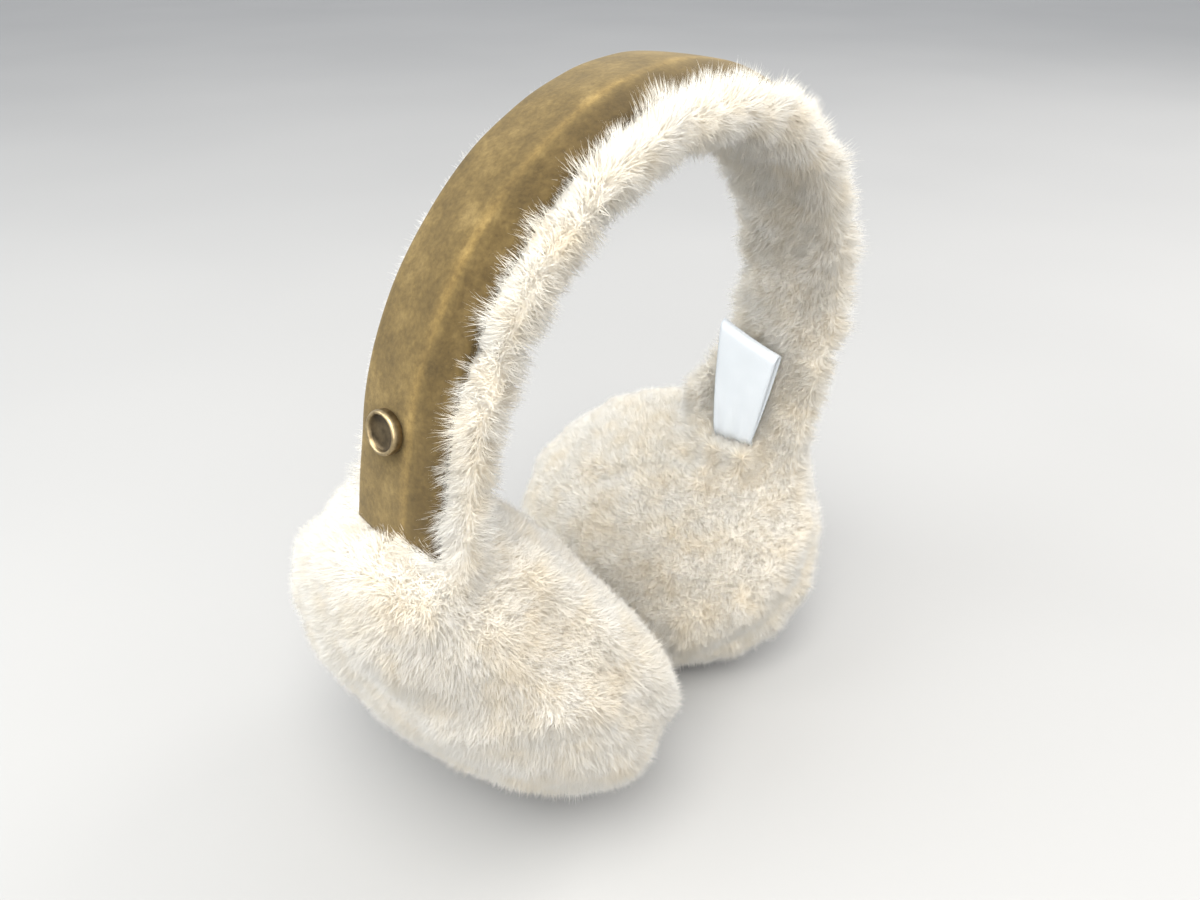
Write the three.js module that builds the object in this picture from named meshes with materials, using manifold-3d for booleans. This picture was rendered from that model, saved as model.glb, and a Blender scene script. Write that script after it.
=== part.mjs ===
// Shearling earmuffs with a suede-covered headband, standing on their two cups.
// Millimetres, +Z up. X runs from ear to ear, -Y is the front, and the floor is z = 0.
// The cups swivel on the band, so at rest each one toes in by its own angle.
import * as THREE from 'three';
import { mergeVertices } from 'three/addons/utils/BufferGeometryUtils.js';
import Module from 'manifold-3d';

const wasm = await Module();
wasm.setup();

// ---------------------------------------------------------------- driving dimensions
const gap = 0.35; // air between two pieces that touch on the real object

// The band is a half circle on two straight legs.
const arch = {
  radius: 76, // to the outside of the suede
  centreY: -7,
  centreZ: 120,
  leanDeg: 3.7, // the top of the band leans towards the front
  rollDeg: 9, // and it leans towards the right cup, which lies flatter
};

const fur = {
  thickness: 14.5, // of the band's shearling on the legs, from the suede to the inner face
  crown: 0.28, // share that the fur is deeper at the top of the arch
  frontHalf: 21.5, // the strip is wider in front of the suede than behind it
  backHalf: 16.5,
  roundness: 2.6, // exponent of the superellipse: 2 is an ellipse
  leftEndDeg: 109, // angles are counted from the top of the arch
  rightEndDeg: 120,
  steps: 38,
  outlinePoints: 24,
  flareFromDeg: 88, // behind the legs the fur widens from here down to the cups
  flareToDeg: 118,
  flare: 0.6,
};

const suede = {
  wall: 1.6,
  width: 25.5,
  ridge: -4.4, // where the edge of the stiffener shows, measured from the middle
  frontDrop: 2.4, // how far the suede falls from the ridge to its front edge
  backDrop: 1.5,
  leftEndDeg: 107,
  rightEndDeg: 117,
  steps: 42,
  columns: 9,
};

const cup = {
  fullness: 0.93, // below 1 the cup is boxier than an ellipsoid
  seamDepth: 0.07, // share of the radius that the rim seam pulls in
  seamWidth: 5,
  around: 44,
  across: 26,
};

// One row for each cup. side is -1 at left and 1 at right, and toeIn turns the cup's foot towards the
// other cup. length and height are half sizes in the plane of the rim seam, the domes are the
// thickness on either side of it. The collar is how far the cover is drawn up round the band. Its
// middle is collarDeg along the band, collarAcross from the band's middle and collarRadius from the
// arch's centre, and it spreads by collarSpread radians.
const cupPoses = [
  {
    name: 'left', side: -1, x: -40.5, y: 10.5, z: 51.5, toeInDeg: 30, yawDeg: 6,
    length: 59, height: 56, outerDome: 36, innerDome: 26,
    collar: 22, collarDeg: -106, collarAcross: -7, collarRadius: 80, collarSpread: 0.47,
  },
  {
    name: 'right', side: 1, x: 48, y: 20, z: 36, toeInDeg: 54, yawDeg: 0,
    length: 58, height: 51, outerDome: 30, innerDome: 28,
    collar: 12, collarDeg: 113, collarAcross: 0, collarRadius: 69, collarSpread: 0.42,
  },
];

const button = {
  radius: 4.7,
  height: 2.4,
  rim: 1.0, // width of the raised rim
  dish: 0.9, // depth of the dished face
  chamfer: 0.5,
  around: 24,
  angleDeg: -88,
  y: 1.2,
  stand: 0.35, // above the suede
};

const label = {
  width: 19.4,
  footShare: 0.66, // the loop is gathered into the seam at its foot
  height: 34, // of the folded loop
  wall: 0.6,
  loop: 1.5, // half the width of the fold at the top
  foot: { x: 52.1, y: -2, z: 78.2 },
  leanDeg: 0,
  rollDeg: 5.4,
  turnDeg: 10,
  twistDeg: 2,
  slant: -0.3, // the fold slopes down towards the front
};

// ---------------------------------------------------------------- materials
const shearling = new THREE.MeshStandardMaterial({ color: 0xefe6cf, roughness: 1.0, metalness: 0 });
const suedeSkin = new THREE.MeshStandardMaterial({ color: 0x9a7440, roughness: 0.95, metalness: 0 });
const antiqueBrass = new THREE.MeshStandardMaterial({ color: 0x6d5634, roughness: 0.4, metalness: 1 });
const satin = new THREE.MeshStandardMaterial({ color: 0xeef0ee, roughness: 0.45, metalness: 0 });

// ---------------------------------------------------------------- helpers
const radians = THREE.MathUtils.degToRad;
const signedPower = (value, power) => Math.sign(value) * Math.abs(value) ** power;

function solid(geometry) {
  const bare = geometry.clone();
  bare.deleteAttribute('normal');
  bare.deleteAttribute('uv');
  const merged = mergeVertices(bare, 1e-4);
  return new wasm.Manifold(new wasm.Mesh({
    numProp: 3,
    vertProperties: new Float32Array(merged.attributes.position.array),
    triVerts: new Uint32Array(merged.index.array),
  }));
}

function geometryOf(body) {
  const result = body.getMesh();
  const geometry = new THREE.BufferGeometry();
  geometry.setAttribute('position', new THREE.BufferAttribute(new Float32Array(result.vertProperties), 3));
  geometry.setIndex(new THREE.BufferAttribute(new Uint32Array(result.triVerts), 1));
  geometry.computeVertexNormals();
  return geometry;
}

function reshape(geometry, place) {
  const position = geometry.attributes.position;
  for (let i = 0; i < position.count; i += 1) {
    const point = place(position.getX(i), position.getY(i), position.getZ(i));
    position.setXYZ(i, point.x, point.y, point.z);
  }
  geometry.computeVertexNormals();
  return geometry;
}

function mesh(name, geometry, material) {
  const piece = new THREE.Mesh(geometry, material);
  piece.name = name;
  return piece;
}

// ---------------------------------------------------------------- the band
const flareAt = (degrees, across) => {
  const along = THREE.MathUtils.smoothstep(Math.abs(degrees), fur.flareFromDeg, fur.flareToDeg);
  return across > suede.width / 2 - 1 ? 1 + fur.flare * along : 1;
};
const depthAt = (degrees) => 1 + fur.crown * Math.cos(radians(degrees) / 2) ** 4;
const evenly = () => 1;

// a point of the band: past a quarter turn either way it lies on a straight leg
function onBand(radius, across, degrees) {
  const turned = radians(THREE.MathUtils.clamp(degrees, -90, 90));
  const down = arch.radius * (Math.abs(radians(degrees)) - Math.abs(turned));
  return new THREE.Vector3(radius * Math.sin(turned), across, radius * Math.cos(turned) - down);
}

// A section is drawn with x outwards from the arch's outer radius and y across the band, then
// swept along the band from right to left.
function sweepRound(points, leftDeg, rightDeg, steps, widthAt, thicknessAt) {
  const shape = new THREE.Shape(points);
  const straight = new THREE.ExtrudeGeometry(shape, { depth: 1, steps, bevelEnabled: false });
  return reshape(straight, (outward, across, share) => {
    const degrees = rightDeg - (rightDeg + leftDeg) * share;
    const radius = arch.radius + outward * (outward < -fur.thickness / 2 ? thicknessAt(degrees) : 1);
    return onBand(radius, across * widthAt(degrees, across), degrees);
  });
}

// height of the suede's upper side across the band, 0 at the ridge
function suedeTop(across) {
  const half = suede.width / 2;
  if (across < suede.ridge) {
    return -suede.frontDrop * ((across - suede.ridge) / (-half - suede.ridge)) ** 1.4;
  }
  return -suede.backDrop * ((across - suede.ridge) / (half - suede.ridge)) ** 2.2;
}

function suedeColumns(extraHalf) {
  const half = suede.width / 2 + extraHalf;
  return Array.from({ length: suede.columns }, (_, i) => -half + (2 * half * i) / (suede.columns - 1));
}

function suedeOutline() {
  const top = suedeColumns(0).map((across) => new THREE.Vector2(suedeTop(across), across));
  const underside = suedeColumns(0).map((across) => new THREE.Vector2(suedeTop(across) - suede.wall, across));
  return [...top, ...underside.reverse()];
}

function furSection(grow) {
  const points = [];
  const half = (fur.thickness + grow * 2) / 2;
  const middle = -fur.thickness / 2;
  for (let i = 0; i < fur.outlinePoints; i += 1) {
    const angle = (2 * Math.PI * (i + 0.5)) / fur.outlinePoints;
    const reach = (Math.sin(angle) < 0 ? fur.frontHalf : fur.backHalf) + grow;
    points.push(new THREE.Vector2(
      middle + half * signedPower(Math.cos(angle), 2 / fur.roundness),
      reach * signedPower(Math.sin(angle), 2 / fur.roundness),
    ));
  }
  return points;
}

// the fur's own section, with a shallow bed for the suede
function furOutline() {
  const bedHalf = suede.width / 2 + gap;
  const rounded = furSection(0).filter((point) => (
    point.x < -fur.thickness / 2 || Math.abs(point.y) > bedHalf
  ));
  const firstIsAbove = rounded.findIndex((point) => point.y > 0);
  const ordered = [...rounded.slice(firstIsAbove), ...rounded.slice(0, firstIsAbove)];
  const bed = suedeColumns(gap).map((across) => (
    new THREE.Vector2(suedeTop(across) - suede.wall - gap, across)
  ));
  const lip = (across) => new THREE.Vector2(-suede.frontDrop, across);
  return [...ordered, lip(-bedHalf - gap), ...bed, lip(bedHalf + gap)];
}

const bandGroup = new THREE.Group();
bandGroup.position.set(0, arch.centreY, arch.centreZ);
bandGroup.rotation.set(radians(arch.leanDeg), radians(arch.rollDeg), 0);
bandGroup.updateMatrixWorld(true);

bandGroup.add(mesh(
  'band_fur',
  sweepRound(furOutline(), fur.leftEndDeg, fur.rightEndDeg, fur.steps, flareAt, depthAt),
  shearling,
));
bandGroup.add(mesh(
  'band_suede',
  sweepRound(suedeOutline(), suede.leftEndDeg, suede.rightEndDeg, suede.steps, evenly, evenly),
  suedeSkin,
));

// ---------------------------------------------------------------- the button
function buttonGeometry() {
  const { radius, height, rim, dish, chamfer, around } = button;
  const profile = [
    [0, 0],
    [radius - chamfer, 0],
    [radius, chamfer],
    [radius, height - chamfer],
    [radius - rim * 0.4, height],
    [radius - rim, height - dish * 0.1],
    [radius - rim * 1.5, height - dish * 0.7],
    [radius * 0.45, height - dish],
    [0, height - dish * 0.85],
  ];
  return new THREE.LatheGeometry(profile.map(([x, y]) => new THREE.Vector2(x, y)), around);
}

// ---------------------------------------------------------------- the cups
function cupGeometry(row, collarPoint) {
  const ball = new THREE.SphereGeometry(1, cup.around, cup.across);
  return reshape(ball, (sx, sy, sz) => {
    const dome = sy > 0 ? row.outerDome : row.innerDome;
    const outward = dome * signedPower(sy, cup.fullness);
    const ring = Math.hypot(sx, sz);
    const reach = ring < 1e-6 ? 0 : ring ** (cup.fullness - 1);
    const seam = 1 - cup.seamDepth * Math.exp(-((outward / cup.seamWidth) ** 2));
    const point = new THREE.Vector3(
      outward,
      row.length * sz * reach * seam,
      row.height * sx * reach * seam,
    );
    const away = point.angleTo(collarPoint) / row.collarSpread;
    return point.addScaledVector(point.clone().normalize(), row.collar * Math.exp(-(away ** 2)));
  });
}

// In a cup's own frame x points out from the ear and z up along the cup.
function cupMatrix(row) {
  const toeIn = radians(row.toeInDeg);
  const outward = new THREE.Vector3(row.side * Math.cos(toeIn), 0, -Math.sin(toeIn));
  const upward = new THREE.Vector3(row.side * Math.sin(toeIn), 0, Math.cos(toeIn));
  const across = new THREE.Vector3().crossVectors(upward, outward);
  const turned = new THREE.Matrix4().makeRotationZ(radians(row.yawDeg));
  const own = new THREE.Matrix4().makeBasis(outward, across, upward);
  return turned.multiply(own).setPosition(row.x, row.y, row.z);
}

// the room that the end of the band takes inside a cup
const pocket = sweepRound(
  furSection(gap),
  fur.leftEndDeg + 1,
  fur.rightEndDeg + 1,
  fur.steps,
  flareAt,
  depthAt,
);
pocket.applyMatrix4(bandGroup.matrixWorld);
const suedeRoom = sweepRound(
  [
    new THREE.Vector2(-fur.thickness / 2, -suede.width / 2 - gap),
    new THREE.Vector2(gap, -suede.width / 2 - gap),
    new THREE.Vector2(gap, suede.width / 2 + gap),
    new THREE.Vector2(-fur.thickness / 2, suede.width / 2 + gap),
  ],
  suede.leftEndDeg + 1,
  suede.rightEndDeg + 1,
  suede.steps,
  evenly,
  evenly,
);
suedeRoom.applyMatrix4(bandGroup.matrixWorld);

const slabSize = 400; // larger than the whole object
const floorSlab = new THREE.BoxGeometry(slabSize, slabSize, slabSize);
floorSlab.translate(0, 0, -slabSize / 2);

function halfSpace(side) {
  const slab = new THREE.BoxGeometry(slabSize, slabSize, slabSize);
  slab.translate(side * (slabSize / 2 + gap / 2), 0, 0);
  return solid(slab);
}

const cupMeshes = cupPoses.flatMap((row) => {
  const matrix = cupMatrix(row);
  const back = matrix.clone().invert();
  const collarPoint = onBand(row.collarRadius, row.collarAcross, row.collarDeg)
    .applyMatrix4(bandGroup.matrixWorld)
    .applyMatrix4(back);
  const inCupFrame = (geometry) => solid(geometry.clone().applyMatrix4(back));
  const whole = solid(cupGeometry(row, collarPoint))
    .subtract(inCupFrame(pocket))
    .subtract(inCupFrame(suedeRoom))
    .subtract(inCupFrame(floorSlab));
  return [['outer', 1], ['inner', -1]].map(([half, side]) => {
    const piece = mesh(`cup_${half}_${row.name}`, geometryOf(whole.intersect(halfSpace(side))), shearling);
    piece.applyMatrix4(matrix);
    return piece;
  });
});

// ---------------------------------------------------------------- the label
// a strip folded over at the top, its two ends side by side at the foot
function labelGeometry() {
  const { width, height, wall, loop } = label;
  const outside = new THREE.Shape();
  outside.moveTo(-wall - gap / 2, 0);
  outside.lineTo(wall + gap / 2, 0);
  outside.lineTo(loop, height - loop);
  outside.absarc(0, height - loop, loop, 0, Math.PI, false);
  outside.closePath();
  const slit = new THREE.Path();
  slit.moveTo(-gap / 2, wall);
  slit.lineTo(-loop + wall, height - loop);
  slit.absarc(0, height - loop, loop - wall, Math.PI, 0, true);
  slit.lineTo(gap / 2, wall);
  slit.closePath();
  outside.holes.push(slit);
  const sweep = { depth: width, steps: 4, bevelEnabled: false, curveSegments: 4 };
  const strip = new THREE.ExtrudeGeometry(outside, sweep);
  return reshape(strip, (thick, up, across) => {
    const twist = radians(label.twistDeg) * (up / height);
    const middle = (across - width / 2) * THREE.MathUtils.lerp(label.footShare, 1, up / height);
    return new THREE.Vector3(
      thick * Math.cos(twist) - middle * Math.sin(twist),
      -(thick * Math.sin(twist) + middle * Math.cos(twist)),
      up + label.slant * middle * (up / height),
    );
  });
}

const labelPiece = mesh('care_label', labelGeometry(), satin);
labelPiece.position.set(label.foot.x, label.foot.y, label.foot.z);
labelPiece.rotation.set(radians(label.rollDeg), radians(label.leanDeg), radians(label.turnDeg), 'ZYX');

// ---------------------------------------------------------------- the assembly
const buttonPiece = mesh('button', buttonGeometry(), antiqueBrass);
const buttonAngle = radians(button.angleDeg);
const buttonRadius = arch.radius + suedeTop(button.y) + button.stand;
buttonPiece.position.copy(onBand(buttonRadius, button.y, button.angleDeg));
buttonPiece.quaternion.setFromUnitVectors(
  new THREE.Vector3(0, 1, 0),
  new THREE.Vector3(Math.sin(buttonAngle), 0, Math.cos(buttonAngle)),
);
bandGroup.add(buttonPiece);

const earmuffs = new THREE.Group();
earmuffs.add(bandGroup, ...cupMeshes, labelPiece);
earmuffs.updateMatrixWorld(true);

// the origin is the middle of the footprint
const box = new THREE.Box3().setFromObject(earmuffs, true);
earmuffs.position.set(-(box.min.x + box.max.x) / 2, -(box.min.y + box.max.y) / 2, 0);
earmuffs.updateMatrixWorld(true);

export default earmuffs;
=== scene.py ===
"""Looks of the shearling earmuffs: plush fur, a suede strip, an aged brass button and a satin label.

Metres, +Z up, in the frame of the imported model. The fur is one skin round all the fur solids, set in
from their outer form by the length of the pile, and the pile is drawn hair by hair as joined meshes.
"""

import math

import bmesh
import bpy
import numpy as np
from mathutils import Matrix, Vector, noise
from mathutils.bvhtree import BVHTree
from mathutils.kdtree import KDTree


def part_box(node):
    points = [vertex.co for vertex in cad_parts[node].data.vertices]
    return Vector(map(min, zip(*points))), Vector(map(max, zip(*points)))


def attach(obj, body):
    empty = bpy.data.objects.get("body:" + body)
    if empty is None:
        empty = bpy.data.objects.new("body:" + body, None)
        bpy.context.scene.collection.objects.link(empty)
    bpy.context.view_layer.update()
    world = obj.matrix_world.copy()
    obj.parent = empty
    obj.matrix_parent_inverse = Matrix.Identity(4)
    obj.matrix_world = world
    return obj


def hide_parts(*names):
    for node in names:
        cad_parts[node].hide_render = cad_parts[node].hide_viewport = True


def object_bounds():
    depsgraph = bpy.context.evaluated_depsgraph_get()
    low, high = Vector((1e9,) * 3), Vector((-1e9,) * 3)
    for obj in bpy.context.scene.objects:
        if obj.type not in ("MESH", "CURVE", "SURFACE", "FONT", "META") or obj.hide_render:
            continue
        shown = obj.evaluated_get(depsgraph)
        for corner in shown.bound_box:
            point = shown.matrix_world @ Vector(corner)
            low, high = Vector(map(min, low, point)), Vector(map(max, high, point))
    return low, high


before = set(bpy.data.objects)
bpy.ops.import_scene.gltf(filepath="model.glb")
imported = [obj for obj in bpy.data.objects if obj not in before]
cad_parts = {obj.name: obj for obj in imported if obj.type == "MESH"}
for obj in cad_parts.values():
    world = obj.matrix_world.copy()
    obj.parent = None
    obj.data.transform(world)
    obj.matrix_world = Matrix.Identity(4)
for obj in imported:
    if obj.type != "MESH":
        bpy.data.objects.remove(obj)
cad_low, cad_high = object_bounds()

MM = 0.001

# ---------------------------------------------------------------- the band, as the CAD sizes it
ARCH_RADIUS = 76 * MM
ARCH_LEAN = math.radians(3.7)
ARCH_ROLL = math.radians(9)
SUEDE = {
    "width": 25.5 * MM,
    "wall": 1.6 * MM,
    "ridge": -4.4 * MM,
    "front_drop": 2.4 * MM,
    "back_drop": 1.5 * MM,
    "left_end": math.radians(107),
    "right_end": math.radians(117),
}

# ---------------------------------------------------------------- the label, a ribbon folded into a loop
LABEL = {
    "width": 19.4 * MM,
    "foot_share": 0.66,  # the loop is gathered into the seam at its foot
    "height": 34 * MM,
    "sewn_in": 6 * MM,  # how far its ends go on into the fur
    "sewn_lean": 0.75,  # how far they lean to the band there, as a share of that
    "thickness": 0.3 * MM,
    "loop": 2.1 * MM,
    "gap": 0.35 * MM,
    "bow": 0.9 * MM,
    "curl": 0.7 * MM,
    "pleat": 0.3 * MM,
    "pleats": 5,
    "roll": math.radians(5.4),
    "turn": math.radians(10),
    "twist": math.radians(2),
    "slant": -0.3,  # the fold slopes down towards the front
}

# ---------------------------------------------------------------- the button
BUTTON_ANGLE = math.radians(-88)
BUTTON_RADIUS, BUTTON_HEIGHT = 4.7 * MM, 2.4 * MM
# from the middle of the back over the rim to the middle of the face: shares of the radius and the
# height, and how bright the brass is worn there
BUTTON_PROFILE = [
    (0, 0, 0), (0.90, 0.00, 0), (0.97, 0.05, 0.2), (1.0, 0.15, 0.4), (1.0, 0.62, 0.6), (0.985, 0.80, 0.9),
    (0.955, 0.93, 1.0), (0.915, 0.99, 1.0), (0.87, 1.0, 1.0), (0.825, 0.97, 0.9), (0.79, 0.88, 0.5),
    (0.765, 0.74, 0.1), (0.72, 0.66, 0.0), (0.60, 0.60, 0.05), (0.45, 0.57, 0.1), (0.25, 0.565, 0.15),
    (0, 0.57, 0.2),
]

# ---------------------------------------------------------------- the pile
SKIN_VOXEL = 2.2 * MM
SOLID_GROWTH = 0.3 * MM  # closes the gaps between the fur solids, so that one skin goes round them
FLOOR_CLEARANCE = 0.15 * MM  # of the tips
SKIN_CLEARANCE = 1.0 * MM
BACK_TUCK = 0.9 * MM  # how far below the suede's back edge the tips behind it stay
BARE_DEPTH = 9 * MM  # how far below the suede's top the skin under it grows no hair
# inset: how deep the skin lies; reach: how long a hair is; lean: how far a lock leans; lock: hairs in a
# lock; gather: how far they close on its tip; ragged: how much the lengths differ; stray: how much the
# hairs of a lock point apart; shaggy: how much longer the pile is down the right of the crown
BAND_HAIR = {"inset": 3.5 * MM, "reach": 4.3 * MM, "lean": 0.50, "lock": 110, "gather": 0.20,
             "ragged": 0.26, "stray": 0.34, "width": 0.18 * MM, "shaggy": 0.5}
CUP_HAIR = {"inset": 3.5 * MM, "reach": 4.2 * MM, "lean": 0.42, "lock": 60, "gather": 0.12,
            "ragged": 0.14, "stray": 0.42, "width": 0.20 * MM}
# the tufts that stand along the suede's edges: depth and spread are how far below and beyond the edge
# they grow, and over is how far they fall across the suede
END_TUFTS = {"hairs": 8000, "reach": 7.2 * MM, "depth": 3.0 * MM, "spread": 4.0 * MM, "over": 0.75,
             "lean": 0.35, "lock": 60, "gather": 0.22, "ragged": 0.28, "stray": 0.24}
TUFTS = [
    {"along": "front", "hairs": 30000, "reach": 5.6 * MM, "depth": 3.8 * MM, "spread": 3.0 * MM,
     "over": 0.24, "lean": 0.45, "lock": 110, "gather": 0.22, "ragged": 0.36, "stray": 0.30},
    {"along": "back", "hairs": 6000, "reach": 2.4 * MM, "depth": 4.4 * MM, "spread": 2.2 * MM,
     "over": 0.0, "lean": 0.25, "lock": 60, "gather": 0.2, "ragged": 0.15, "stray": 0.24},
    {"along": "left_end", **END_TUFTS},
    {"along": "right_end", **END_TUFTS},
]
PILES = [
    {"node": "band_fur", "piece": "band_pile", "hairs": 125000, "fill": 0.6, "tufts": TUFTS, **BAND_HAIR},
    {"node": "cup_outer_left", "piece": "left_cup_outer_pile", "hairs": 180000, "fill": 0.75, **CUP_HAIR},
    {"node": "cup_inner_left", "piece": "left_cup_inner_pile", "hairs": 150000, "fill": 0.75, **CUP_HAIR},
    {"node": "cup_outer_right", "piece": "right_cup_outer_pile", "hairs": 150000, "fill": 0.75, **CUP_HAIR},
    {"node": "cup_inner_right", "piece": "right_cup_inner_pile", "hairs": 180000, "fill": 0.75, **CUP_HAIR},
]
LOCK_TURN_SIZES = (16 * MM, 5 * MM)  # over which the locks' lean changes
LOCK_LENGTH_SIZE = 9 * MM

# where the covers are pinched or stand up, in mm: a line, how wide it is, and how far it moves the skin
FORMS = [
    # the right cup's cover, gathered to the band: its long crease, then pinches with folds between
    {"start": (28, 24, 56), "end": (45, -6, 70), "width": 3.2, "out": -1.6},
    {"start": (47, -7, 74), "end": (40, -6, 68), "width": 1.9, "out": -1.3},
    {"start": (51, -17, 75), "end": (43, -17, 68), "width": 1.9, "out": -1.4},
    {"start": (54, -27, 74), "end": (48, -29, 67), "width": 2.0, "out": -1.2},
    {"start": (48, -12, 73), "end": (41, -11, 66), "width": 2.2, "out": 1.0},
    {"start": (52, -22, 74), "end": (44, -23, 66), "width": 2.4, "out": 1.0},
    # the fold in front of the label's foot
    {"start": (46, -10, 75), "end": (49, -24, 73), "width": 3.4, "out": 3.8},
    # the neck behind the label
    {"start": (59, 4, 82), "end": (60, 6, 97), "width": 8.0, "out": 4.5},
    # a soft hollow across the right cup's pad
    {"start": (30, 14, 56), "end": (16, -8, 40), "width": 4.0, "out": -1.1},
    # the left cup's brushed crest, in two stretches
    {"start": (-80, -31, 60), "end": (-63, -54, 68), "width": 5.0, "out": 1.9},
    {"start": (-63, -54, 68), "end": (-49, -59, 65), "width": 5.0, "out": 1.9},
    # the left cup's dent, and the valley over its rim's seam
    {"start": (-90, -2, 84), "end": (-88, -12, 66), "width": 9.0, "out": -3.4},
    {"start": (-76, 17, 95), "end": (-90, -6, 92), "width": 3.4, "out": -1.4},
]
CLOUD_SIZE, CLOUD_HEIGHT = 12 * MM, 1.5 * MM  # the soft lumps all over the covers


# ---------------------------------------------------------------- helpers
def unit(vectors):
    return vectors / np.maximum(np.linalg.norm(vectors, axis=-1, keepdims=True), 1e-12)


def linked(name, mesh, material):
    mesh.materials.append(material)
    piece = bpy.data.objects.new(name, mesh)
    bpy.context.scene.collection.objects.link(piece)
    return piece


def mesh_object(name, points, faces, material, smooth=True):
    mesh = bpy.data.meshes.new(name)
    mesh.from_pydata([tuple(p) for p in points], [], [tuple(f) for f in faces])
    if smooth:
        mesh.shade_smooth()
    return linked(name, mesh, material)


def add_attribute(mesh, name, values):
    made = mesh.attributes.new(name, "FLOAT", "POINT")
    made.data.foreach_set("value", np.asarray(values, np.float32))


def belongs(piece, node=None):
    """Rides on the one body, in place of a CAD node where it has one."""
    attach(piece, "root")
    if node:
        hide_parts(node)


def triangle_mesh(name, points, triangles):
    """A mesh from arrays, which is much quicker than from_pydata for a whole pile."""
    mesh = bpy.data.meshes.new(name)
    mesh.vertices.add(len(points))
    mesh.vertices.foreach_set("co", points.astype(np.float32).ravel())
    mesh.loops.add(triangles.size)
    mesh.loops.foreach_set("vertex_index", triangles.astype(np.int32).ravel())
    mesh.polygons.add(len(triangles))
    mesh.polygons.foreach_set("loop_start", np.arange(0, triangles.size, 3, dtype=np.int32))
    mesh.polygons.foreach_set("use_smooth", np.ones(len(triangles), bool))
    mesh.update(calc_edges=True)
    return mesh


def tidy_normals(piece, weld=False):
    tidy = bmesh.new()
    tidy.from_mesh(piece.data)
    if weld:
        bmesh.ops.remove_doubles(tidy, verts=tidy.verts, dist=1e-6)
        bmesh.ops.dissolve_degenerate(tidy, edges=tidy.edges, dist=1e-7)
    bmesh.ops.recalc_face_normals(tidy, faces=tidy.faces)
    tidy.to_mesh(piece.data)
    tidy.free()


def wall_faces(rows, columns):
    """Faces of a wall from two grids of points, the second behind the first, with its four edges."""
    under = rows * columns
    faces = []
    for i in range(rows - 1):
        for j in range(columns - 1):
            a = i * columns + j
            faces.append((a, a + columns, a + columns + 1, a + 1))
            faces.append((under + a, under + a + 1, under + a + columns + 1, under + a + columns))
    for i in range(rows - 1):
        for a in (i * columns, (i + 1) * columns - 1):
            faces.append((a, under + a, under + a + columns, a + columns))
    for j in range(columns - 1):
        for a in (j, (rows - 1) * columns + j):
            faces.append((a, a + 1, under + a + 1, under + a))
    return faces


def tree_of_node(node):
    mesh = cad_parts[node].data
    return BVHTree.FromPolygons([v.co for v in mesh.vertices], [tuple(p.vertices) for p in mesh.polygons])


# ---------------------------------------------------------------- where things are on the band
BAND_TURN = np.array(Matrix.Rotation(ARCH_LEAN, 3, "X") @ Matrix.Rotation(ARCH_ROLL, 3, "Y"))


def on_band(radius, across, angle):
    """Points of the upright band: past a quarter turn either way it runs straight down."""
    turned = np.clip(angle, -math.pi / 2, math.pi / 2)
    down = ARCH_RADIUS * (np.abs(angle) - np.abs(turned))
    return np.stack([radius * np.sin(turned), across + 0 * angle, radius * np.cos(turned) - down], axis=-1)


def radial_way(angle):
    return on_band(1.0, 0.0, angle) - on_band(0.0, 0.0, angle)


def along_suede(share):
    """The angle at a share of the way from the suede's left end to its right."""
    return -SUEDE["left_end"] + (SUEDE["left_end"] + SUEDE["right_end"]) * share


def suede_top(across):
    """How far below the ridge the suede's top lies."""
    half = SUEDE["width"] / 2
    front = np.clip((across - SUEDE["ridge"]) / (-half - SUEDE["ridge"]), 0, None)
    back = np.clip((across - SUEDE["ridge"]) / (half - SUEDE["ridge"]), 0, None)
    return -SUEDE["front_drop"] * front**1.4 - SUEDE["back_drop"] * back**2.2


def arch_centre():
    """The CAD strip's box says where the turned band stands."""
    across, angle = np.meshgrid(
        np.linspace(-SUEDE["width"] / 2, SUEDE["width"] / 2, 9),
        np.linspace(-SUEDE["left_end"], SUEDE["right_end"], 43),
    )
    outer = on_band(ARCH_RADIUS + suede_top(across), across, angle)
    inner = on_band(ARCH_RADIUS + suede_top(across) - SUEDE["wall"], across, angle)
    own = np.concatenate([outer, inner]).reshape(-1, 3) @ BAND_TURN.T
    low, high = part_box("band_suede")
    return (np.array(low) + np.array(high)) / 2 - (own.min(0) + own.max(0)) / 2


ARCH_CENTRE = arch_centre()


def to_row(points):
    return points @ BAND_TURN.T + ARCH_CENTRE


def band_place(points):
    """(angle from the top, distance across, distance from the arch's centre) of points of the band."""
    upright = (points - ARCH_CENTRE) @ BAND_TURN
    angle = np.arctan2(upright[:, 0], upright[:, 2])
    leg = upright[:, 2] < 0
    angle = np.where(leg, np.sign(upright[:, 0]) * (math.pi / 2 - upright[:, 2] / ARCH_RADIUS), angle)
    radius = np.where(leg, np.abs(upright[:, 0]), np.hypot(upright[:, 0], upright[:, 2]))
    return angle, upright[:, 1], radius


# ---------------------------------------------------------------- materials
def node_material(name):
    material = bpy.data.materials.new(name)
    material.use_nodes = True
    tree = material.node_tree
    return material, tree, tree.nodes["Principled BSDF"]


def noise_node(tree, scale, detail=3, roughness=0.5, source=None):
    node = tree.nodes.new("ShaderNodeTexNoise")
    node.inputs["Scale"].default_value = scale
    node.inputs["Detail"].default_value = detail
    node.inputs["Roughness"].default_value = roughness
    tree.links.new(source or object_coordinates(tree), node.inputs["Vector"])
    return node.outputs["Fac"]


def object_coordinates(tree):
    node = tree.nodes.new("ShaderNodeTexCoord")
    return node.outputs["Object"]


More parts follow.
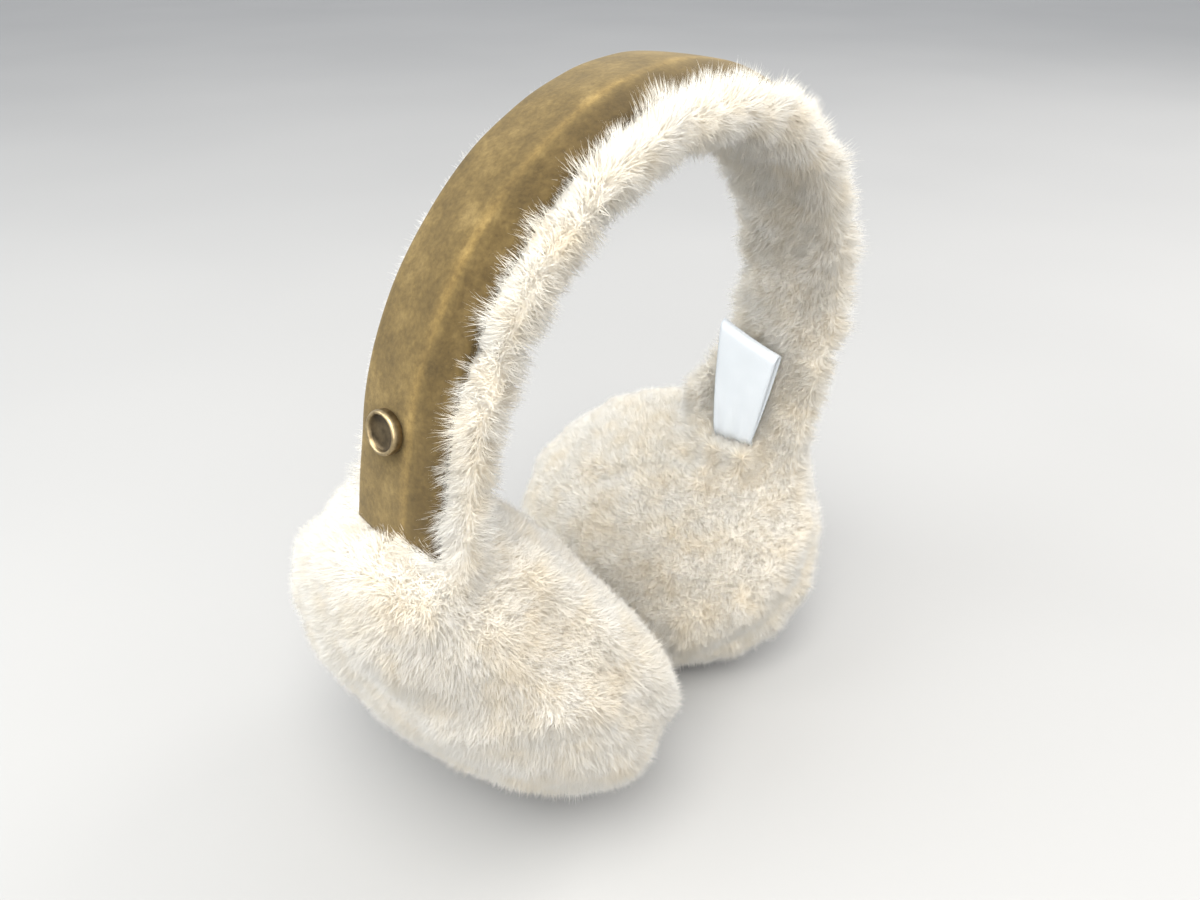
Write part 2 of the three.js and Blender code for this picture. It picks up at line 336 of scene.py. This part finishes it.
def ramp(tree, factor, stops):
    node = tree.nodes.new("ShaderNodeValToRGB")
    while len(node.color_ramp.elements) < len(stops):
        node.color_ramp.elements.new(0.5)
    for element, (place, colour) in zip(node.color_ramp.elements, stops):
        element.position = place
        element.color = (*colour, 1)
    tree.links.new(factor, node.inputs["Fac"])
    return node.outputs["Color"]


def mix(tree, factor, first, second, kind="MIX"):
    node = tree.nodes.new("ShaderNodeMix")
    node.data_type = "RGBA"
    node.blend_type = kind
    for socket, value in (("Factor", factor), ("A", first), ("B", second)):
        target = next(i for i in node.inputs if i.name == socket and i.enabled)
        if isinstance(value, bpy.types.NodeSocket):
            tree.links.new(value, target)
        elif socket == "Factor":
            target.default_value = value
        else:
            target.default_value = (*value, 1)
    return next(o for o in node.outputs if o.enabled)


def bump(tree, height, strength, distance, normal=None):
    node = tree.nodes.new("ShaderNodeBump")
    node.inputs["Strength"].default_value = strength
    node.inputs["Distance"].default_value = distance
    tree.links.new(height, node.inputs["Height"])
    if normal is not None:
        tree.links.new(normal, node.inputs["Normal"])
    return node.outputs["Normal"]


def attribute(tree, name):
    node = tree.nodes.new("ShaderNodeAttribute")
    node.attribute_name = name
    return node.outputs["Fac"]


def outward_normal(tree):
    """A blade shows both its sides, and both are lit as the skin under it is."""
    geometry = tree.nodes.new("ShaderNodeNewGeometry")
    flip = tree.nodes.new("ShaderNodeMath")
    flip.operation = "MULTIPLY_ADD"
    flip.inputs[1].default_value = -2
    flip.inputs[2].default_value = 1
    tree.links.new(geometry.outputs["Backfacing"], flip.inputs[0])
    turn = tree.nodes.new("ShaderNodeVectorMath")
    turn.operation = "SCALE"
    tree.links.new(geometry.outputs["Normal"], turn.inputs[0])
    tree.links.new(flip.outputs[0], turn.inputs["Scale"])
    return turn.outputs[0]


def shearling_material():
    material, tree, surface = node_material("shearling")
    along = attribute(tree, "along")
    # painted shade: the hairs are darker towards their roots and lighter at their tips, as the pile shades
    # its own depths
    painted_root_shade = ramp(tree, along, [(0.0, (0.86, 0.79, 0.66)), (0.5, (0.94, 0.90, 0.82)),
                              (1.0, (0.985, 0.97, 0.925))])
    patches = noise_node(tree, 95, 4, 0.6)
    warm = ramp(tree, patches, [(0.34, (1.0, 0.962, 0.893)), (0.56, (1.0, 1.0, 1.0))])
    colour = mix(tree, 1.0, painted_root_shade, warm, "MULTIPLY")
    locks = ramp(tree, attribute(tree, "lock"), [(0.0, (0.955, 0.945, 0.92)), (1.0, (1.0, 1.0, 1.0))])
    tree.links.new(mix(tree, 1.0, colour, locks, "MULTIPLY"), surface.inputs["Base Color"])
    surface.inputs["Roughness"].default_value = 0.85
    surface.inputs["Specular IOR Level"].default_value = 0.25
    surface.inputs["Sheen Weight"].default_value = 0.25
    surface.inputs["Sheen Roughness"].default_value = 0.5
    outward = outward_normal(tree)
    tree.links.new(outward, surface.inputs["Normal"])
    through = tree.nodes.new("ShaderNodeBsdfTranslucent")
    tree.links.new(outward, through.inputs["Normal"])
    tree.links.new(surface.inputs["Base Color"].links[0].from_socket, through.inputs["Color"])
    both = tree.nodes.new("ShaderNodeMixShader")
    both.inputs["Fac"].default_value = 0.5
    tree.links.new(surface.outputs["BSDF"], both.inputs[1])
    tree.links.new(through.outputs["BSDF"], both.inputs[2])
    tree.links.new(both.outputs["Shader"], tree.nodes["Material Output"].inputs["Surface"])
    return material


def suede_material():
    material, tree, surface = node_material("suede")
    mottle = noise_node(tree, 130, 4, 0.65)
    nap = noise_node(tree, 900, 3, 0.7)
    broad = noise_node(tree, 22, 2, 0.5)
    brown = ramp(tree, mottle, [(0.30, (0.048, 0.033, 0.012)), (0.52, (0.076, 0.053, 0.019)),
                                (0.74, (0.115, 0.083, 0.033))])
    fine = ramp(tree, nap, [(0.30, (0.66, 0.62, 0.56)), (0.70, (1.12, 1.10, 1.04))])
    shade = ramp(tree, broad, [(0.35, (0.86, 0.84, 0.80)), (0.65, (1.06, 1.05, 1.03))])
    colour = mix(tree, 1.0, brown, fine, "MULTIPLY")
    colour = mix(tree, 1.0, colour, shade, "MULTIPLY")
    slope = attribute(tree, "slope")
    # painted light: low slope darkens the front slope as painted shade, high slope lightens the ridge as a
    # painted highlight
    wear_and_painted_light = ramp(tree, slope, [(0.0, (0.42, 0.38, 0.32)), (0.5, (1.0, 1.0, 1.0)), (1.0, (2.0, 1.95, 1.8))])
    colour = mix(tree, 1.0, colour, wear_and_painted_light, "MULTIPLY")
    tree.links.new(colour, surface.inputs["Base Color"])
    surface.inputs["Roughness"].default_value = 0.95
    surface.inputs["Specular IOR Level"].default_value = 0.15
    surface.inputs["Sheen Weight"].default_value = 0.16
    surface.inputs["Sheen Roughness"].default_value = 0.6
    surface.inputs["Sheen Tint"].default_value = (0.80, 0.66, 0.42, 1)
    coarse = bump(tree, mottle, 0.35, 0.0004)
    tree.links.new(bump(tree, nap, 0.5, 0.00015, coarse), surface.inputs["Normal"])
    return material


def brass_material():
    material, tree, surface = node_material("antique_brass")
    wear_and_painted_light = attribute(tree, "wear_and_painted_light")
    stain = noise_node(tree, 420, 4, 0.65)
    dark = ramp(tree, stain, [(0.3, (0.035, 0.027, 0.017)), (0.7, (0.095, 0.070, 0.040))])
    bright = ramp(tree, stain, [(0.3, (0.17, 0.125, 0.065)), (0.7, (0.42, 0.33, 0.19))])
    tree.links.new(mix(tree, wear_and_painted_light, dark, bright), surface.inputs["Base Color"])
    surface.inputs["Metallic"].default_value = 1.0
    rough = tree.nodes.new("ShaderNodeMapRange")
    rough.inputs["To Min"].default_value = 0.30
    rough.inputs["To Max"].default_value = 0.52
    tree.links.new(stain, rough.inputs["Value"])
    tree.links.new(rough.outputs["Result"], surface.inputs["Roughness"])
    tree.links.new(bump(tree, noise_node(tree, 900, 3), 0.12, 0.0001), surface.inputs["Normal"])
    return material


def satin_material():
    material, tree, surface = node_material("satin")
    threads = tree.nodes.new("ShaderNodeTexWave")
    threads.wave_type = "BANDS"
    threads.bands_direction = "Y"
    threads.inputs["Scale"].default_value = 700
    threads.inputs["Distortion"].default_value = 0.4
    tree.links.new(object_coordinates(tree), threads.inputs["Vector"])
    colour = ramp(tree, noise_node(tree, 60, 2), [(0.3, (0.37, 0.39, 0.405)), (0.7, (0.43, 0.45, 0.465))])
    edge = ramp(tree, attribute(tree, "selvedge"), [(0.0, (1.0, 1.0, 1.0)), (1.0, (0.90, 0.91, 0.92))])
    tree.links.new(mix(tree, 1.0, colour, edge, "MULTIPLY"), surface.inputs["Base Color"])
    surface.inputs["Roughness"].default_value = 0.48
    surface.inputs["Anisotropic"].default_value = 0.4
    surface.inputs["Sheen Weight"].default_value = 0.15
    tree.links.new(bump(tree, threads.outputs["Fac"], 0.25, 0.00005), surface.inputs["Normal"])
    return material


def floor_material():
    material, tree, surface = node_material("floor")
    tone = ramp(tree, noise_node(tree, 3, 2), [(0.3, (0.235, 0.232, 0.225)), (0.7, (0.25, 0.246, 0.238))])
    tree.links.new(tone, surface.inputs["Base Color"])
    surface.inputs["Roughness"].default_value = 0.8
    return material


# ---------------------------------------------------------------- the skin under the pile
def joined_solids(nodes):
    joined = bmesh.new()
    for node in nodes:
        one = bmesh.new()
        one.from_mesh(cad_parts[node].data)
        bmesh.ops.remove_doubles(one, verts=one.verts, dist=1e-6)
        one.normal_update()
        for vertex in one.verts:
            vertex.co += vertex.normal * SOLID_GROWTH
        part = bpy.data.meshes.new("part")
        one.to_mesh(part)
        joined.from_mesh(part)
        one.free()
        bpy.data.meshes.remove(part)
    mesh = bpy.data.meshes.new("solids")
    joined.to_mesh(mesh)
    joined.free()
    return mesh


def skin_arrays():
    """Points, normals and triangles of one skin round all the fur."""
    scratch = bpy.data.objects.new("scratch", joined_solids([row["node"] for row in PILES]))
    bpy.context.scene.collection.objects.link(scratch)
    remesh = scratch.modifiers.new("voxels", "REMESH")
    remesh.mode = "VOXEL"
    remesh.voxel_size = SKIN_VOXEL
    smooth = scratch.modifiers.new("smooth", "SMOOTH")
    smooth.factor = 0.5
    smooth.iterations = 3
    mesh = bpy.data.meshes.new_from_object(scratch.evaluated_get(bpy.context.evaluated_depsgraph_get()))
    mesh.calc_loop_triangles()
    points = np.zeros(len(mesh.vertices) * 3, np.float32)
    normals = np.zeros(len(mesh.vertices) * 3, np.float32)
    triangles = np.zeros(len(mesh.loop_triangles) * 3, np.int32)
    mesh.vertices.foreach_get("co", points)
    mesh.vertices.foreach_get("normal", normals)
    mesh.loop_triangles.foreach_get("vertices", triangles)
    bpy.data.objects.remove(scratch)
    bpy.data.meshes.remove(mesh)
    return shaped(points.reshape(-1, 3).astype(float), normals.reshape(-1, 3).astype(float),
                  triangles.reshape(-1, 3))


def line_distance(points, start, end):
    along = end - start
    share = np.clip((points - start) @ along / (along @ along), 0, 1)
    return np.linalg.norm(points - start - share[:, None] * along, axis=1)


def shaped(points, normals, triangles):
    """The skin with its pinches, crests and soft lumps, and the normals that go with them."""
    clouds = billow(points + 5.0, CLOUD_SIZE) + 0.5 * billow(points + 9.0, CLOUD_SIZE / 2)
    move = CLOUD_HEIGHT * (clouds - 0.3)
    for form in FORMS:
        far = line_distance(points, np.array(form["start"]) * MM, np.array(form["end"]) * MM)
        move += form["out"] * MM * np.exp(-((far / (form["width"] * MM)) ** 2))
    moved = points + normals * move[:, None]
    a, b, c = (moved[triangles[:, k]] for k in range(3))
    facing = np.cross(b - a, c - a)
    turned = np.zeros_like(moved)
    for k in range(3):
        np.add.at(turned, triangles[:, k], facing)
    return moved, unit(turned), triangles


def owners(centres):
    """Which row of PILES each place on the skin belongs to: the nearest solid."""
    far = []
    for row in PILES:
        tree = tree_of_node(row["node"])
        far.append([tree.find_nearest(Vector(c))[3] for c in centres])
    return np.argmin(np.array(far), axis=0)


def under_suede(centres):
    """Places on the skin that the suede hides, where no hair grows."""
    angle, across, radius = band_place(centres)
    within = (angle > -SUEDE["left_end"]) & (angle < SUEDE["right_end"])
    beside = np.abs(across) < SUEDE["width"] / 2 + 0.4 * MM
    return within & beside & (radius > ARCH_RADIUS - BARE_DEPTH) & (radius < ARCH_RADIUS + 0.5 * MM)


# ---------------------------------------------------------------- hairs
def scatter(points, normals, triangles, count, rng):
    """Roots spread evenly over triangles, with their smooth normals."""
    a, b, c = (points[triangles[:, k]] for k in range(3))
    area = np.linalg.norm(np.cross(b - a, c - a), axis=1)
    pick = rng.choice(len(triangles), count, p=area / area.sum())
    u, v = rng.random((2, count, 1))
    u, v = np.where(u + v > 1, 1 - u, u), np.where(u + v > 1, 1 - v, v)
    place = a[pick] + u * (b - a)[pick] + v * (c - a)[pick]
    na, nb, nc = (normals[triangles[pick, k]] for k in range(3))
    return place, unit(na * (1 - u - v) + nb * u + nc * v)


def nearest(points, targets):
    tree = KDTree(len(targets))
    for i, p in enumerate(targets):
        tree.insert(p, i)
    tree.balance()
    return np.array([tree.find(p)[1] for p in points])


def swirl(points, size):
    """A smooth random direction at each point, which changes over about that size."""
    return np.array([noise.noise_vector(Vector(p) / size) for p in points])


def billow(points, size):
    return np.array([noise.noise(Vector(p) / size) for p in points])


def hair_tips(row, roots, normals, rng):
    """Tips gathered into locks, with each hair's lock as a number from 0 to 1 and its lock's direction."""
    count = max(1, len(roots) // row["lock"])
    heads = rng.choice(len(roots), count, replace=False)
    broad, fine = LOCK_TURN_SIZES
    lay = swirl(roots[heads], broad) * 0.9 + swirl(roots[heads] + 1.0, fine) * 0.6
    lay += rng.normal(size=lay.shape) * 0.35 + np.array([0, 0, -0.12])
    direction = unit(normals[heads] + lay * row["lean"])
    uneven = 0.9 * billow(roots[heads] + 3.0, LOCK_LENGTH_SIZE) + 0.5 * rng.normal(size=count)
    length = row["reach"] * np.clip(1 + row["ragged"] * uneven, 0.6, 1.6)
    if "shaggy" in row:
        turn = band_place(roots[heads])[0]
        rise, fall = np.clip(turn / 0.9, 0, 1), np.clip((2.0 - turn) / 0.6, 0, 1)
        length *= 1 + row["shaggy"] * rise * fall * rng.random(count)
    lock_tip = roots[heads] + direction * length[:, None]
    which = nearest(roots, roots[heads])
    bent = 0.5 * (direction[which] - normals[heads][which])
    own = unit(normals + bent + rng.normal(size=roots.shape) * row["stray"])
    reach = length[which] * (0.80 + 0.40 * rng.random(len(roots)) ** 2.5)
    tips = roots + own * reach[:, None]
    gather = (row["gather"] * (0.4 + 1.2 * rng.random(len(roots))))[:, None]
    tips = tips * (1 - gather) + lock_tip[which] * gather
    return tips, rng.random(count)[which], direction[which]


def hair_arrays(roots, tips, width, rng):
    """A thin blade for each hair, turned at random about its own line."""
    axis = unit(tips - roots)
    side = unit(np.cross(axis, rng.normal(size=axis.shape))) * width / 2
    points = np.stack([roots - side, roots + side, tips], axis=1).reshape(-1, 3)
    return points, np.arange(len(points)).reshape(-1, 3)


def hairy_piece(row, base, roots, tips, normals, lock, direction, rng, material):
    """Skin triangles and hairs as one mesh, shaded as a soft whole."""
    name, node = row["piece"], row["node"]
    skin_points, skin_normals, skin_faces = base
    widths = row["width"] * (0.7 + 0.6 * rng.random((len(roots), 1)))
    hair_points, hair_faces = hair_arrays(roots, tips, widths, rng)
    points = np.concatenate([skin_points, hair_points])
    faces = np.concatenate([skin_faces, hair_faces + len(skin_points)])
    mesh = triangle_mesh(name, points, faces)
    soft = unit(normals + 0.35 * direction + rng.normal(size=normals.shape) * 0.10)
    shading = np.concatenate([skin_normals, np.repeat(soft, 3, axis=0)])
    mesh.normals_split_custom_set_from_vertices(shading.astype(np.float32))
    # along runs from 0 at a root to 1 at a tip, and the fur is darker towards the roots as painted shade of
    # the pile's depths; the skin is given that painted shade of the pile's depths
    add_attribute(mesh, "along", [0.35] * len(skin_points) + [0.3, 0.3, 1.0] * len(roots))
    add_attribute(mesh, "lock", np.concatenate([np.full(len(skin_points), 0.5), np.repeat(lock, 3)]))
    piece = linked(name, mesh, material)
    belongs(piece, node)
    return piece


def tuft_roots(row, rng):
    """Where the tufts along one edge of the suede grow, and which way."""
    count, half = row["hairs"], SUEDE["width"] / 2
    out, place = rng.random((2, count))
    depth = row["depth"] * (0.75 + 0.5 * rng.random(count) + 0.3 * out)
    away = row["spread"] * out + 0.2 * MM
    if row["along"] in ("front", "back"):
        side = -1 if row["along"] == "front" else 1
        angle = along_suede(place)
        across, edge_top = side * (half + away), suede_top(np.array(side * half))
        aside = np.array([0, 1.0, 0]) * (side * (0.9 * out - row["over"]))[:, None]
    else:
        side = -1 if row["along"] == "left_end" else 1
        angle = side * (SUEDE[row["along"]] + away / ARCH_RADIUS)
        across = (2 * place - 1) * (half + 2 * MM)
        edge_top = suede_top(across)
        aside = np.array([0, 0, 1.0]) * (row["over"] * (1 - 0.5 * out))[:, None]
    roots = to_row(on_band(ARCH_RADIUS + edge_top - depth, across, angle))
    return roots, unit(radial_way(angle) + aside) @ BAND_TURN.T


def kept_low(tips):
    """Behind the suede no tuft stands above it."""
    angle, across, radius = band_place(tips)
    within = (angle > -SUEDE["left_end"]) & (angle < SUEDE["right_end"]) & (across > SUEDE["ridge"])
    high = np.where(within, radius - (ARCH_RADIUS - SUEDE["back_drop"] - BACK_TUCK), 0)
    return tips - np.clip(high, 0, None)[:, None] * (radial_way(angle) @ BAND_TURN.T)


def pile_piece(index, row, skin, material):
    points, normals, triangles, owner, covered = skin
    rng = np.random.default_rng(100 + index)
    inner = points - normals * row["inset"]
    inner[:, 2] = np.maximum(inner[:, 2], SKIN_CLEARANCE)
    used, renumbered = np.unique(triangles[owner == index], return_inverse=True)
    growing = triangles[(owner == index) & ~covered]
    roots, ways = scatter(inner, normals, growing, row["hairs"], rng)
    hairs = [(roots, ways, *hair_tips(row, roots, ways, rng))]
    for tufts in row.get("tufts", []):
        roots, ways = tuft_roots(tufts, rng)
        hairs.append((roots, ways, *hair_tips(tufts, roots, ways, rng)))
    roots, ways, tips, lock, direction = (np.concatenate(part) for part in zip(*hairs))
    if "tufts" in row:
        tips = kept_low(tips)
    tips[:, 2] = np.maximum(tips[:, 2], FLOOR_CLEARANCE)
    base = (inner[used], normals[used], renumbered.reshape(-1, 3))
    piece = hairy_piece(row, base, roots, tips, ways, lock, direction, rng, material)


# ---------------------------------------------------------------- the suede strip
def suede_piece(material):
    columns, rows = 31, 301
    half = SUEDE["width"] / 2
    across, angle = np.meshgrid(np.linspace(-half, half, columns), along_suede(np.linspace(0, 1, rows)))
    middle = on_band(ARCH_RADIUS, across, angle).reshape(-1, 3)
    wave = billow(middle, 14 * MM).reshape(across.shape)
    rounded = np.clip(1 - (half - np.abs(across)) / (1.1 * MM), 0, 1)
    top = suede_top(across) + 0.35 * MM * (wave - 0.3) - 0.6 * MM * rounded**2
    outer = on_band(ARCH_RADIUS + top, across, angle)
    inner = on_band(ARCH_RADIUS + suede_top(across) - SUEDE["wall"], across, angle)
    points = to_row(np.concatenate([outer.reshape(-1, 3), inner.reshape(-1, 3)]))
    piece = mesh_object("suede_strip", points, wall_faces(rows, columns), material)
    tidy_normals(piece)
    # slope is 0.5 on the flat, more on the ridge as a painted highlight and less on the front slope as
    # painted shade
    ridge = np.exp(-(((across - SUEDE["ridge"]) / (1.5 * MM)) ** 2))
    front = np.clip((SUEDE["ridge"] - across) / (3 * MM), 0, 1)
    slope = 0.5 + 0.32 * ridge * (0.6 + 0.8 * (wave + 0.3)) - 0.34 * front * (0.8 + 0.5 * wave)
    add_attribute(piece.data, "slope", np.tile(slope.ravel(), 2))
    belongs(piece, "band_suede")
    suede_fibres(material)


def suede_fibres(material):
    """The front cut edge's short brown fibres, among the white tufts."""
    rng = np.random.default_rng(300)
    count = 5000
    angle = along_suede(rng.random(count))
    edge = np.full(count, -SUEDE["width"] / 2)
    top = suede_top(edge) - 1.3 * MM * rng.random(count)
    roots = to_row(on_band(ARCH_RADIUS + top, edge + 0.1 * MM, angle))
    away = radial_way(angle) * 0.9 - np.array([0, 1.0, 0]) + rng.normal(size=roots.shape) * 0.35
    tips = roots + unit(away) @ BAND_TURN.T * (0.7 + 0.8 * rng.random((count, 1))) * MM
    points, faces = hair_arrays(roots, tips, np.full((count, 1), 0.12 * MM), rng)
    mesh = triangle_mesh("suede_fibres", points, faces)
    # the fibres take the front slope's painted shade
    add_attribute(mesh, "slope", np.full(3 * count, 0.2))
    piece = linked("suede_fibres", mesh, material)
    belongs(piece)
    return piece


# ---------------------------------------------------------------- the button
def button_piece(material):
    """A lathed cap, with the brass worn where the profile says."""
    low, high = (np.array(c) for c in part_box("button"))
    centre = (low + high) / 2
    axis = unit(to_row(on_band(1.0, 0.0, np.array(BUTTON_ANGLE))[None]) - ARCH_CENTRE)[0]
    side = unit(np.cross(axis, [0.0, 0.0, 1.0]))
    other = np.cross(axis, side)
    around = 72
    turn = 2 * math.pi * np.arange(around)[:, None] / around
    spokes = side * np.cos(turn) + other * np.sin(turn)
    points = np.concatenate([centre + BUTTON_RADIUS * r * spokes + axis * BUTTON_HEIGHT * (h - 0.5)
                             for r, h, _ in BUTTON_PROFILE])
    faces = []
    for i in range(len(BUTTON_PROFILE) - 1):
        for k in range(around):
            a, b = i * around + k, i * around + (k + 1) % around
            faces.append((a, a + around, b + around, b))
    piece = mesh_object("button_cap", points, faces, material)
    tidy_normals(piece, weld=True)
    wear = dict((round(r, 4), wear_and_painted_light) for r, _, wear_and_painted_light in BUTTON_PROFILE)
    table = np.array(sorted(wear.items()))
    offset = np.array([vertex.co for vertex in piece.data.vertices]) - centre
    share = np.linalg.norm(offset - np.outer(offset @ axis, axis), axis=1) / BUTTON_RADIUS
    add_attribute(piece.data, "wear_and_painted_light", np.interp(share, table[:, 0], table[:, 1]))
    belongs(piece, "button")


# ---------------------------------------------------------------- the label
def label_profile(side):
    """One face of the folded ribbon, from one end at the foot over the fold to the other."""
    loop, height, gap = LABEL["loop"], LABEL["height"] - LABEL["loop"], LABEL["gap"]
    climb = np.linspace(-LABEL["sewn_in"] / height, 1, 28)
    bow = LABEL["bow"] * np.sin(math.pi * np.clip(climb, 0, 1))
    leaf = gap + (loop - gap) * np.clip(climb, 0, 1) ** 1.6
    front = np.stack([leaf + bow, height * climb], axis=1)
    turn = np.linspace(0, math.pi, 12)[1:-1]
    over = np.stack([loop * np.cos(turn), height + loop * np.sin(turn)], axis=1)
    back = np.stack([-leaf - bow, height * climb], axis=1)[::-1]
    path = np.concatenate([front, over, back])
    along = unit(np.gradient(path, axis=0))
    out = np.stack([along[:, 1], -along[:, 0]], axis=1)
    return path + out * side * LABEL["thickness"] / 2


def label_piece(material):
    columns = 25
    share = np.linspace(-0.5, 0.5, columns)
    sheets = []
    for side in (1, -1):
        profile = label_profile(side)
        thick, up = (np.repeat(profile[:, k, None], columns, axis=1) for k in (0, 1))
        rise = up / LABEL["height"]
        gathered = LABEL["foot_share"] + (1 - LABEL["foot_share"]) * np.clip(rise, 0, 1) ** 0.8
        middle = share * LABEL["width"] * gathered
        pleat = LABEL["pleat"] * np.cos(share * math.pi * LABEL["pleats"]) * np.clip(1 - rise, 0, 1) ** 2
        curl = LABEL["curl"] * (2 * share) ** 2 * rise
        thick = thick + pleat + curl + LABEL["sewn_lean"] * np.clip(-up, 0, None)
        twist = LABEL["twist"] * rise
        own = np.stack([thick * np.cos(twist) - middle * np.sin(twist),
                        -(thick * np.sin(twist) + middle * np.cos(twist)),
                        up + LABEL["slant"] * middle * rise], axis=-1)
        sheets.append(own.reshape(-1, 3))
    turn = np.array(Matrix.Rotation(LABEL["turn"], 3, "Z") @ Matrix.Rotation(LABEL["roll"], 3, "X"))
    points = np.concatenate(sheets) @ turn.T
    low, high = (np.array(corner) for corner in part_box("care_label"))
    points[:, 0] += low[0] - points[:, 0].min()
    points[:, 1] += (low + high)[1] / 2 - (points.min(0) + points.max(0))[1] / 2
    points[:, 2] += high[2] - points[:, 2].max()
    rows = len(profile)
    piece = mesh_object("satin_label", points, wall_faces(rows, columns), material)
    tidy_normals(piece)
    add_attribute(piece.data, "selvedge", np.tile(np.clip((np.abs(share) - 0.45) / 0.03, 0, 1), 2 * rows))
    belongs(piece, "care_label")


# ---------------------------------------------------------------- floor, lights and camera
def make_floor():
    reach = 3.0
    corners = [(-reach, -reach, 0), (reach, -reach, 0), (reach, reach, 0), (-reach, reach, 0)]
    floor = mesh_object("floor", corners, [(0, 1, 2, 3)], floor_material(), smooth=False)


def area_light(name, place, aim, size, power, colour):
    data = bpy.data.lights.new(name, "AREA")
    data.shape = "DISK"
    data.size = size
    data.energy = power
    data.color = colour
    light = bpy.data.objects.new(name, data)
    light.location = place
    light.rotation_mode = "QUATERNION"
    light.rotation_quaternion = (Vector(aim) - Vector(place)).to_track_quat("-Z", "Y")
    bpy.context.scene.collection.objects.link(light)


def make_lights(centre):
    area_light("key", centre + Vector((-0.45, -0.35, 1.1)), centre, 0.9, 27, (1.0, 0.985, 0.95))
    area_light("front", centre + Vector((-0.8, -0.95, 0.45)), centre, 1.1, 15, (1.0, 0.99, 0.97))
    area_light("fill", centre + Vector((-0.9, 0.5, 0.7)), centre, 1.0, 14, (0.95, 0.98, 1.0))
    area_light("side", centre + Vector((1.1, -0.4, 0.8)), centre, 1.0, 14, (1.0, 0.98, 0.96))
    world = bpy.data.worlds.new("studio")
    world.use_nodes = True
    background = world.node_tree.nodes["Background"]
    background.inputs["Color"].default_value = (0.92, 0.95, 1.0, 1)
    background.inputs["Strength"].default_value = 1.4
    bpy.context.scene.world = world
    bpy.context.scene.view_settings.view_transform = "Standard"


def make_camera(centre):
    azimuth, elevation = math.radians(-47.4), math.radians(30.96)
    distance = 261.2 * MM
    aim = centre + Vector((0.7, -7.0, -7.1)) * MM
    back = Vector((math.sin(azimuth) * math.cos(elevation), -math.cos(azimuth) * math.cos(elevation),
                   math.sin(elevation)))
    data = bpy.data.cameras.new("camera")
    data.lens = 27.9
    data.sensor_width = 36
    data.clip_start = 0.01
    camera = bpy.data.objects.new("camera", data)
    camera.location = aim + back * distance
    camera.rotation_mode = "QUATERNION"
    camera.rotation_quaternion = (-back).to_track_quat("-Z", "Y")
    bpy.context.scene.collection.objects.link(camera)
    bpy.context.scene.camera = camera


# ---------------------------------------------------------------- the scene
def make_earmuffs():
    points, normals, triangles = skin_arrays()
    centres = points[triangles].mean(axis=1)
    owner = owners(centres)
    covered = under_suede(centres)
    skin = (points, normals, triangles, owner, covered)
    shearling = shearling_material()
    for index, row in enumerate(PILES):
        pile_piece(index, row, skin, shearling)
    suede_piece(suede_material())
    button_piece(brass_material())
    label_piece(satin_material())


middle = (cad_low + cad_high) / 2
make_camera(middle)
make_lights(middle)
make_floor()
make_earmuffs()
